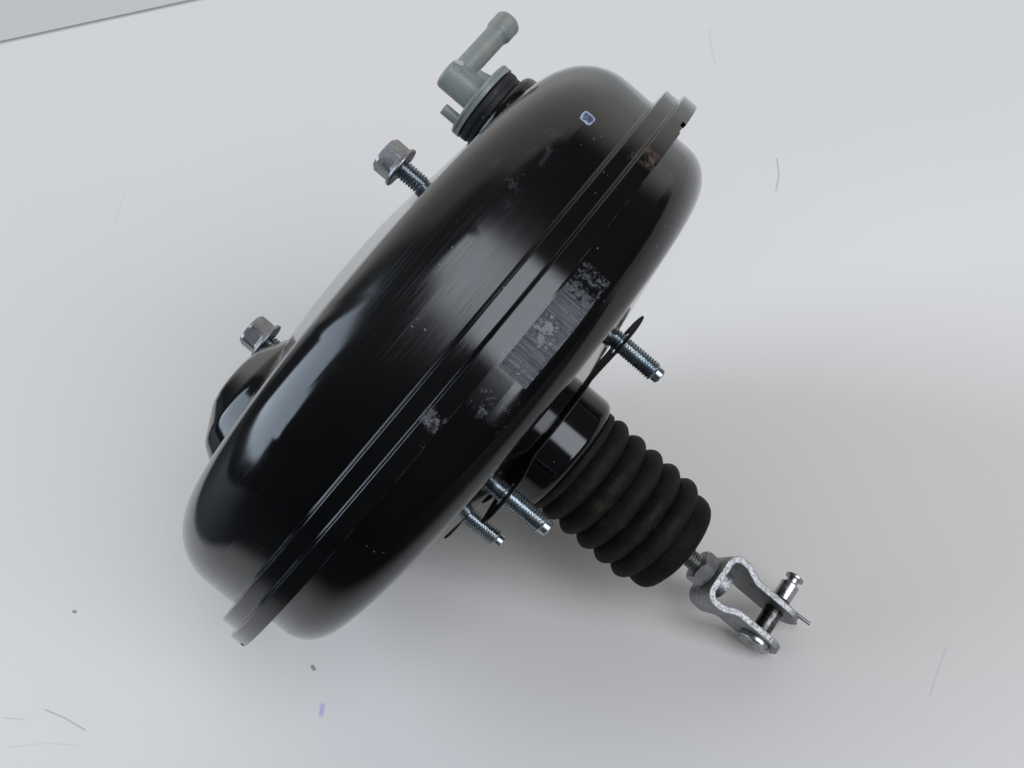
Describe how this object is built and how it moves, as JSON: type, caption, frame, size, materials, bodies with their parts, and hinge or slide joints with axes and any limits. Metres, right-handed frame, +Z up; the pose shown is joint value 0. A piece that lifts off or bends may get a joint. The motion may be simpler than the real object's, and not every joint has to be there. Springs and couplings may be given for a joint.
{
  "type": "brake booster",
  "caption": "Round single-diaphragm vacuum brake booster with black pressed shells, rubber boot, clevis push rod, stud mounts and angled check valve port.",
  "frame": {"origin": "centre of the four firewall studs, in the plane of the rear mounting face", "axes": "+X runs rearwards along the input rod to the pedal, +Z is up along the longer side of the stud rectangle, and +Y completes the right-handed frame"},
  "size_m": [0.2568, 0.27, 0.27],
  "materials": {
    "black_paint": "glossy black dip paint",
    "zinc_steel": "bright zinc plate",
    "dark_steel": "dull steel with a dark phosphate skin",
    "strap_steel": "galvanised strap with bright sheared edges",
    "polished_steel": "ground and polished pin steel",
    "spring_steel": "oiled spring wire",
    "boot_rubber": "dull dusty black rubber",
    "seal_rubber": "smooth black rubber",
    "gasket_sheet": "matt black sheet",
    "valve_plastic": "satin grey moulded plastic",
    "piston_plastic": "dark brown moulded phenolic plastic",
    "filter_foam": "open grey foam and felt"
  },
  "bodies": {
    "housing": {"front_shell": "black_paint", "rear_shell": "black_paint", "front_stud_plate": "dark_steel", "rear_stud_plate": "dark_steel", "cylinder_studs": "zinc_steel", "cylinder_nuts": "dark_steel", "firewall_studs": "zinc_steel", "firewall_gasket": "gasket_sheet", "front_seal": "seal_rubber", "guide_bush": "piston_plastic", "hub_seal": "seal_rubber", "diaphragm": "seal_rubber", "return_spring": "spring_steel", "dust_boot": "boot_rubber", "port_grommet": "seal_rubber"},
    "piston": {"power_piston": "piston_plastic", "diaphragm_plate": "zinc_steel", "reaction_disc": "seal_rubber", "output_rod": "zinc_steel", "output_tip": "dark_steel", "rod_cup": "zinc_steel", "stop_key": "dark_steel", "poppet_valve": "seal_rubber", "poppet_retainer": "zinc_steel", "poppet_spring": "spring_steel", "rod_spring": "spring_steel", "air_filter": "filter_foam", "air_silencer": "filter_foam"},
    "air_valve": {"plunger": "polished_steel"},
    "pushrod": {"input_rod": "zinc_steel", "lock_nut": "dark_steel"},
    "clevis": {"clevis": "strap_steel", "pin_clip": "spring_steel"},
    "pin": {"clevis_pin": "polished_steel"},
    "port": {"port_base": "valve_plastic", "port_elbow": "valve_plastic", "check_spring": "spring_steel"},
    "check_valve": {"check_disc": "seal_rubber"}
  },
  "joints": [
    {"name": "servo_stroke", "type": "slide", "parent": "housing", "child": "piston", "axis": [-1, 0, 0], "range_m": [0, 0.03], "stiffness_N_per_m": 4000, "springref_m": -0.025, "deforming": ["return_spring", "diaphragm", "dust_boot"]},
    {"name": "valve_travel", "type": "slide", "parent": "piston", "child": "air_valve", "axis": [-1, 0, 0], "range_m": [0, 0.0015], "stiffness_N_per_m": 1500, "springref_m": -0.01, "deforming": ["rod_spring", "poppet_valve", "poppet_spring"]},
    {"name": "rod_tilt", "type": "hinge", "parent": "air_valve", "child": "pushrod", "pos_m": [0.002, 0, 0], "axis": [0, -0.0349, 0.9994], "range_deg": [-2, 2], "stiffness_Nm_per_rad": 2, "deforming": ["air_filter", "air_silencer"]},
    {"name": "clevis_turn", "type": "hinge", "parent": "pushrod", "child": "clevis", "pos_m": [0.099, 0, 0], "axis": [1, 0, 0], "continuous": true},
    {"name": "pin_turn", "type": "hinge", "parent": "clevis", "child": "pin", "pos_m": [0.129, 0, 0], "axis": [0, -0.0349, 0.9994], "continuous": true},
    {"name": "port_turn", "type": "hinge", "parent": "housing", "child": "port", "pos_m": [-0.09391, -0.04494, 0.07191], "axis": [1, 0, 0], "range_deg": [-90, 90]},
    {"name": "check_lift", "type": "slide", "parent": "port", "child": "check_valve", "axis": [-1, 0, 0], "range_m": [0, 0.0015], "stiffness_N_per_m": 20, "springref_m": -0.004, "deforming": ["check_spring"]}
  ]
}
